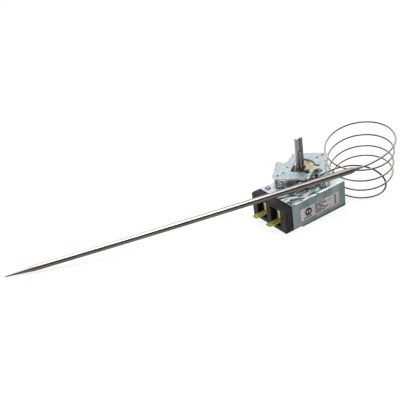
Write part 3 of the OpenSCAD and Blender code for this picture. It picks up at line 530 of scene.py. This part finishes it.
NODES_IN = {
    SHAFT_STEEL: ("control_shaft",),
    BRIDGE_ZINC: ("mounting_bridge",),
    ZINC: ("case_rivets", "bearing_strip", "cover_screws"),
    SHADED_ZINC: ("lever_bracket", "lever"),
    CASE_ZINC: ("case_cover",),
    PHENOLIC: ("switch_base", "transfer_pin"),
    BRASS: ("hub_bushing", "terminal_common", "terminal_load", "load_bracket", "common_bracket",
            "range_nut", "calibration_screw"),
    BRONZE: ("stop_disc", "window_plate", "capillary_sleeve", "switch_blade"),
    STEEL: ("retaining_ring", "lever_pin", "range_spring", "stop_pin"),
    TUBE_STEEL: ("capillary_tube", "sensing_bulb"),
    BRIGHT_METAL: ("capsule", "capsule_button", "terminal_rivets", "fixed_contact",
                   "moving_contact"),
}


def dress_nodes():
    """Gives each CAD node its material, on its object."""
    for material, names in NODES_IN.items():
        for name in names:
            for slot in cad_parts[name].material_slots:
                slot.link = "OBJECT"
                slot.material = material


# Meshes

def mesh_piece(name, vertices, faces, material, smooth=True):
    """Object of a mesh with one material."""
    mesh = bpy.data.meshes.new(name)
    mesh.from_pydata([tuple(vertex) for vertex in vertices], [], faces)
    mesh.materials.append(material)
    for face in mesh.polygons:
        face.use_smooth = smooth
    mesh.update()
    piece = bpy.data.objects.new(name, mesh)
    bpy.context.scene.collection.objects.link(piece)
    return piece


def swept(points, radii, sides):
    """Vertices and faces of a closed tube round a line of points, with one radius for each."""
    vertices = []
    faces = []
    last = len(points) - 1
    up = Vector((0, 0, 1))
    for i, (point, radius) in enumerate(zip(points, radii)):
        forward = (points[min(i + 1, last)] - points[max(i - 1, 0)]).normalized()
        across = forward.cross(up).normalized()
        above = across.cross(forward)
        for k in range(sides):
            angle = 2 * math.pi * k / sides
            vertices.append(point + radius * (math.cos(angle) * across + math.sin(angle) * above))
    for i in range(last):
        for k in range(sides):
            a = i * sides + k
            b = i * sides + (k + 1) % sides
            faces.append((a, b, b + sides, a + sides))
    faces.append(tuple(reversed(range(sides))))
    faces.append(tuple(last * sides + k for k in range(sides)))
    return vertices, faces


# Capillary and bulb

# The same rule as the CAD tube, in millimetres: a coil with a leaning axis, a closing pitch and a
# shrinking radius, joined to the bulb and to the capsule by two smooth curves.
TUBE_R = 0.8
TUBE_SIDES = 14
BULB_R = 2.7
BULB_SIDES = 28
BULB_L = 316.1
BULB_Z = 4.3
BULB_Y = 47.0
BULB_END = 7.4
BULB_HEADING = math.radians(151.6)
BULB_BOW = 1.2
POINT_L = 27.0
POINT_POWER = 0.9
TIP_R = 0.5
NECK_L = 7.5
COIL_R = 30.8
COIL_TAPER = 0.94
COIL_PITCH = 14.8
COIL_CLOSE = 0.77
COIL_GAP = 27.2
COIL_Y = 11.8
COIL_Z = 5.2
LEAN_X = -0.16
LEAN_Y = -0.115
COIL_FROM = -22.0
COIL_TO = 1325.0
LEAD_START = 11.9
LEAD_END = 31.8
TAIL_START = 34.2
TAIL_END = 62.7
TAIL_CLIMB = math.radians(8.4)
TAIL_GAP = 0.15
LEAD_STEPS = 40
COIL_STEPS = 380
TAIL_STEPS = 70

# Distance along the bulb and height above the tube, round the lip of the neck
NECK_LIP = ((0.0, 0.2), (0.3, 0.38), (1.0, 0.5))
# Shares of the neck and of the pointed end at which the bulb has rings
NECK_RINGS = (0.15, 0.3, 0.45, 0.6, 0.75, 0.9, 1.0)
POINT_RINGS = (0.04, 0.1, 0.2, 0.35, 0.5, 0.65, 0.8, 0.9, 0.985)
# Rings on the straight body, and how far the last ring stands back from the tip
BODY_STEPS = 60
TIP_BACK = 0.05

COIL_AT = Vector((CASE_HIGH.x / MM + COIL_GAP, -COIL_Y, COIL_Z))
COIL_AXIS = Vector((LEAN_X, LEAN_Y, 1.0)).normalized()
COIL_U = (Vector((1, 0, 0)) - COIL_AXIS * COIL_AXIS.x).normalized()
COIL_V = COIL_AXIS.cross(COIL_U)
BULB_AT = Vector((CASE_HIGH.x / MM - BULB_END, -BULB_Y, BULB_Z))
BULB_FALL = (BULB_Z - GROUND / MM - TIP_R) / BULB_L
BULB_RUN = math.sqrt(1 - BULB_FALL * BULB_FALL)
BULB_DIR = Vector((math.cos(BULB_HEADING) * BULB_RUN, math.sin(BULB_HEADING) * BULB_RUN, -BULB_FALL))
OUTLET = Vector((CAPSULE_HIGH.x / MM + TAIL_GAP,
                 (CAPSULE_LOW.y + CAPSULE_HIGH.y) / 2 / MM,
                 (CAPSULE_LOW.z + CAPSULE_HIGH.z) / 2 / MM))
TAIL_DIR = Vector((math.cos(TAIL_CLIMB), 0, math.sin(TAIL_CLIMB)))


def coil_at(angle):
    """Point on the centre line of the coil at an angle in degrees."""
    turns = angle / 360
    down = COIL_PITCH * turns - COIL_CLOSE * turns * turns
    radius = COIL_R - COIL_TAPER * turns
    level = COIL_U * radius * math.cos(math.radians(angle))
    level += COIL_V * radius * math.sin(math.radians(angle))
    return COIL_AT - COIL_AXIS * down + level


def coil_dir(angle):
    """Direction in which the coil runs at an angle in degrees."""
    return (coil_at(angle + 0.5) - coil_at(angle - 0.5)).normalized()


def curve_at(handles, t):
    """Point on a smooth curve with two ends and two handles."""
    s = 1 - t
    shares = (s ** 3, 3 * s * s * t, 3 * s * t * t, t ** 3)
    return sum((handle * share for handle, share in zip(handles, shares)), Vector())


def capillary_points():
    """Centre line of the capillary from the neck of the bulb to the capsule."""
    first = coil_at(COIL_FROM)
    last = coil_at(COIL_TO)
    lead = (BULB_AT, BULB_AT - BULB_DIR * LEAD_START, first - coil_dir(COIL_FROM) * LEAD_END, first)
    tail = (last, last + coil_dir(COIL_TO) * TAIL_START, OUTLET + TAIL_DIR * TAIL_END, OUTLET)
    points = [curve_at(lead, i / LEAD_STEPS) for i in range(LEAD_STEPS)]
    points += [coil_at(COIL_FROM + (COIL_TO - COIL_FROM) * i / COIL_STEPS) for i in range(COIL_STEPS)]
    points += [curve_at(tail, i / TAIL_STEPS) for i in range(TAIL_STEPS + 1)]
    return points


def make_capillary():
    """The capillary with a round section and close rings, in place of the plain CAD tube."""
    points = [point * MM for point in capillary_points()]
    vertices, faces = swept(points, [TUBE_R * MM] * len(points), TUBE_SIDES)
    obj = mesh_piece("capillary_smooth", vertices, faces, TUBE_STEEL)
    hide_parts("capillary_tube")
    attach(obj, "housing")


def bulb_profile():
    """Distances along the bulb with its radius at each: lip, neck, body, point and tip."""
    profile = [(along, TUBE_R + height) for along, height in NECK_LIP]
    lip, low = profile[-1]
    for t in NECK_RINGS:
        swell = 3 * t * t - 2 * t ** 3
        profile.append((lip + (NECK_L - lip) * t, low + (BULB_R - low) * swell))
    body = BULB_L - POINT_L
    for i in range(1, BODY_STEPS + 1):
        profile.append((NECK_L + (body - NECK_L) * i / BODY_STEPS, BULB_R))
    for t in POINT_RINGS:
        profile.append((body + POINT_L * t, BULB_R + (TIP_R - BULB_R) * t ** POINT_POWER))
    profile.append((BULB_L - TIP_BACK, TIP_R / 2))
    return profile


def bulb_at(along):
    """Point on the centre line of the bulb, which bows down a little in the middle."""
    share = along / BULB_L
    bow = BULB_BOW * 4 * share * (1 - share)
    return BULB_AT + BULB_DIR * along - Vector((0, 0, bow))


def make_bulb():
    """The sensing bulb with a smooth neck, a slight bow and a long point."""
    profile = bulb_profile()
    points = [bulb_at(along) * MM for along, _ in profile]
    vertices, faces = swept(points, [radius * MM for _, radius in profile], BULB_SIDES)
    obj = mesh_piece("bulb_smooth", vertices, faces, BULB_STEEL)
    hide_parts("sensing_bulb")
    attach(obj, "housing")


# Label on the front of the case, in millimetres
LABEL_X = 0.2
LABEL_Z = -32.6
LABEL_W = 43.4
LABEL_H = 11.6
LABEL_T = 0.08
LABEL_CORNER = 1.6
CORNER_STEPS = 5
PRINT_T = 0.02
RING_X = -13.0
RING_Z = -31.9
RING_OUTER = 3.8
RING_INNER = 2.1
RING_STEPS = 28
RING_BAR_W = 1.4
RING_BAR_H = 4.6
ROW_TOP = -28.2
ROW_STEP = 1.7
ROW_H = 1.05
MARK_LEFT = 16.8
MARK_RIGHT = 18.6
MARK_TOP = -29.2
MARK_STEP = 2.4
MARK_H = 1.6
MARK_COUNT = 4

# Rows of bars, from the top one down, each bar with its left and its right end
ROWS = (
    ((-5.5, -2.0), (-0.9, 2.5), (4.4, 5.8)),
    ((-5.5, 0.8), (2.6, 7.6)),
    ((-5.5, -3.0), (-1.8, 3.6)),
    ((-5.5, -1.0), (0.2, 4.4)),
    ((-5.5, -3.2), (-2.2, 2.2), (3.6, 8.6)),
    ((-5.5, 1.2), (2.4, 5.0)),
)
# Single bars, each with its left end, right end, level and height: under the ring and at the right
SINGLE_BARS = (
    (-18.4, -9.0, -36.9, 0.9),
    (9.4, 12.6, -30.4, 0.5),
    (10.0, 13.4, -36.0, 0.5),
)


def label_outline():
    """Rounded rectangle of the label, as x and z."""
    points = []
    for side_x, side_z, start in ((1, 1, 0), (-1, 1, 90), (-1, -1, 180), (1, -1, 270)):
        centre_x = LABEL_X + side_x * (LABEL_W / 2 - LABEL_CORNER)
        centre_z = LABEL_Z + side_z * (LABEL_H / 2 - LABEL_CORNER)
        for i in range(CORNER_STEPS + 1):
            angle = math.radians(start + 90 * i / CORNER_STEPS)
            points.append((centre_x + LABEL_CORNER * math.cos(angle),
                           centre_z + LABEL_CORNER * math.sin(angle)))
    return points


def bar(left, right, level, height):
    """Outline of a bar of print, as x and z."""
    low = level - height / 2
    high = level + height / 2
    return [(left, low), (right, low), (right, high), (left, high)]


def print_shapes():
    """A ring with an upright bar in it, rows of bars and a column of marks at the right."""
    shapes = []
    for i in range(RING_STEPS):
        start = 2 * math.pi * i / RING_STEPS
        end = 2 * math.pi * (i + 1) / RING_STEPS
        corners = ((RING_OUTER, start), (RING_OUTER, end), (RING_INNER, end), (RING_INNER, start))
        shapes.append([(RING_X + radius * math.cos(angle), RING_Z + radius * math.sin(angle))
                       for radius, angle in corners])
    shapes.append(bar(RING_X - RING_BAR_W / 2, RING_X + RING_BAR_W / 2, RING_Z, RING_BAR_H))
    for i, row in enumerate(ROWS):
        shapes += [bar(left, right, ROW_TOP - ROW_STEP * i, ROW_H) for left, right in row]
    shapes += [bar(*single) for single in SINGLE_BARS]
    for i in range(MARK_COUNT):
        shapes.append(bar(MARK_LEFT, MARK_RIGHT, MARK_TOP - MARK_STEP * i, MARK_H))
    return shapes


def flat_shapes(name, shapes, back, thick, material):
    """Thin raised shapes that face the front, each an outline of x and z."""
    vertices = []
    faces = []
    for outline in shapes:
        first = len(vertices)
        count = len(outline)
        for y in (back, back - thick):
            vertices += [(x * MM, y * MM, z * MM) for x, z in outline]
        faces.append(tuple(first + count + i for i in range(count)))
        faces.append(tuple(first + count - 1 - i for i in range(count)))
        for i in range(count):
            j = (i + 1) % count
            faces.append((first + i, first + j, first + count + j, first + count + i))
    piece = mesh_piece(name, vertices, faces, material, smooth=False)
    outward = bmesh.new()
    outward.from_mesh(piece.data)
    bmesh.ops.recalc_face_normals(outward, faces=outward.faces)
    outward.to_mesh(piece.data)
    outward.free()
    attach(piece, "housing")
    return piece


def make_label():
    """The label's plate on the case and its print on the plate."""
    case_front = CASE_LOW.y / MM
    label = flat_shapes("label_plate", [label_outline()], case_front, LABEL_T, LABEL_STOCK)
    printed = flat_shapes("label_bars", print_shapes(), case_front - LABEL_T, PRINT_T, LABEL_PRINT)


# Floor and light
FLOOR_REACH = 4
FLOOR_DROP = 0.0001
FLOOR_COLOUR = (0.86, 0.86, 0.86)
FLOOR_GLOW = 0.8
KEY_AT = Vector((-0.5, -0.1, 1.2))
KEY_SIZE = 0.5
KEY_POWER = 8
WORLD_STRENGTH = 4.5
# Levels of the world's light, each at a height from -1, straight down, to 1, straight up
LIGHT_BY_HEIGHT = ((-0.2, 0.14), (0.05, 0.17), (0.45, 0.24), (0.75, 0.36), (0.93, 0.46), (1.0, 0.5))
# Shares of that light, each at a direction from -1, behind the object, to 1, in front of it
LIGHT_BY_SIDE = ((0.0, 1.0), (0.35, 0.75), (0.6, 0.3), (0.85, 0.16))


def floor_material():
    """White floor that keeps the object's shadow and shows mostly white to camera and metal."""
    material = bpy.data.materials.new("floor_white")
    tree = Tree(material)
    matte = tree.node("BsdfDiffuse", {0: FLOOR_COLOUR})
    glow = tree.node("Emission", {0: WHITE})
    path = tree.node("LightPath", {}).outputs
    seen = tree.maths("MAXIMUM", path["Is Camera Ray"], path["Is Glossy Ray"])
    share = tree.times(seen, FLOOR_GLOW)
    shown = tree.node("MixShader", {0: share, 1: matte.outputs[0], 2: glow.outputs[0]})
    tree.node("OutputMaterial", {0: shown.outputs[0]})
    return material


def make_floor():
    """Large floor just under the case."""
    mesh = bpy.data.meshes.new("floor")
    corners = [(x * FLOOR_REACH, y * FLOOR_REACH, GROUND - FLOOR_DROP)
               for x, y in ((-1, -1), (1, -1), (1, 1), (-1, 1))]
    mesh.from_pydata(corners, [], [(0, 1, 2, 3)])
    mesh.materials.append(floor_material())
    floor = bpy.data.objects.new("floor", mesh)
    bpy.context.scene.collection.objects.link(floor)


def make_key_light():
    """Soft lamp high up on the left, aimed at the frame's origin."""
    data = bpy.data.lights.new("key", "AREA")
    data.shape = "SQUARE"
    data.size = KEY_SIZE
    data.energy = KEY_POWER
    lamp = bpy.data.objects.new("key", data)
    lamp.location = KEY_AT
    lamp.rotation_euler = (-KEY_AT).to_track_quat("-Z", "Y").to_euler()
    bpy.context.scene.collection.objects.link(lamp)


def make_world():
    """Light that is stronger from above and from behind, and a white backdrop for the camera."""
    world = bpy.data.worlds.new("world")
    bpy.context.scene.world = world
    tree = Tree(world)

    def level(value, stops):
        """Grey level over a value from -1 to 1."""
        greys = [((at + 1) / 2, (grey, grey, grey)) for at, grey in stops]
        return tree.ramp(tree.ease(value, -1, 1), greys)

    direction = tree.node("TexCoord", {}).outputs["Generated"]
    height = tree.split(direction)[2]
    front = tree.dot(direction, (*FACING, 0.0))
    grey = tree.times(level(height, LIGHT_BY_HEIGHT), level(front, LIGHT_BY_SIDE))
    light = tree.node("Background", {0: grey, 1: WORLD_STRENGTH})
    backdrop = tree.node("Background", {0: WHITE})
    seen = tree.node("LightPath", {}).outputs["Is Camera Ray"]
    shown = tree.node("MixShader", {0: seen, 1: light.outputs[0], 2: backdrop.outputs[0]})
    tree.node("OutputWorld", {0: shown.outputs[0]})


dress_nodes()
make_capillary()
make_bulb()
make_label()
make_floor()
make_key_light()
make_world()
bpy.context.scene.view_settings.view_transform = "Standard"
